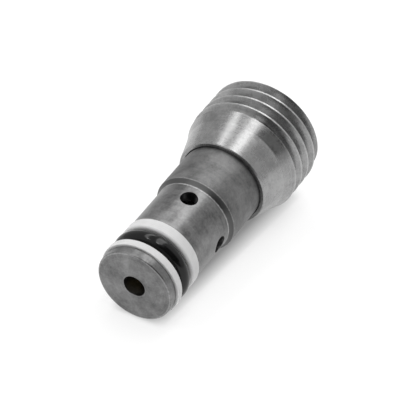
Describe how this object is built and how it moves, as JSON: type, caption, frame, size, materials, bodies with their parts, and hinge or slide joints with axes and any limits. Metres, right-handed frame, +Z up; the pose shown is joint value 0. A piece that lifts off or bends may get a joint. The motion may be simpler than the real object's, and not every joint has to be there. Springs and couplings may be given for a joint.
{
  "type": "hydraulic cartridge valve",
  "caption": "Screw-in hydraulic check valve: dark sleeve with pilot hole, nose seals, cross ports and sealing cone, bright threaded body, spring-closed ball lifted by a pilot piston.",
  "frame": {"origin": "on the valve axis, in the front plane of the threaded body", "axes": "+X along the valve axis from the nose to the wrench socket, +Z up as the valve lies"},
  "size_m": [0.0295, 0.014, 0.014],
  "materials": {
    "bearing_steel": "dark, finely turned and surface-hardened steel",
    "machined_steel": "bright machined steel with turning marks",
    "hardened_steel": "ground hardened steel",
    "ball_steel": "polished bearing steel",
    "spring_steel": "drawn spring steel",
    "copper": "soft copper",
    "brass": "turned brass",
    "ptfe": "matt white PTFE",
    "nitrile": "slightly glossy black nitrile rubber"
  },
  "bodies": {
    "cartridge": {"nose_sleeve": "bearing_steel", "front_backup_ring": "ptfe", "nose_o_ring": "nitrile", "rear_backup_ring": "ptfe", "pilot_orifice_screw": "brass", "valve_seat": "hardened_steel", "seat_o_ring": "nitrile", "seat_backup_ring": "ptfe", "ball_guide": "machined_steel", "closing_spring": "spring_steel", "spring_shim": "spring_steel", "joint_seal_ring": "copper", "threaded_body": "machined_steel"},
    "closing_element": {"valve_ball": "ball_steel", "spring_follower": "machined_steel"},
    "pilot_piston_unit": {"pilot_piston": "hardened_steel", "piston_seal_ring": "ptfe", "piston_seal_energiser": "nitrile", "push_pin": "hardened_steel"}
  },
  "joints": [
    {"name": "closing_lift", "type": "slide", "parent": "cartridge", "child": "closing_element", "axis": [1, 0, 0], "range_m": [0, 0.00075], "stiffness_N_per_m": 3000, "springref_m": -0.0003, "deforming": ["closing_spring"]},
    {"name": "pilot_approach", "type": "slide", "parent": "closing_element", "child": "pilot_piston_unit", "axis": [1, 0, 0], "range_m": [0, 0.0003]}
  ]
}
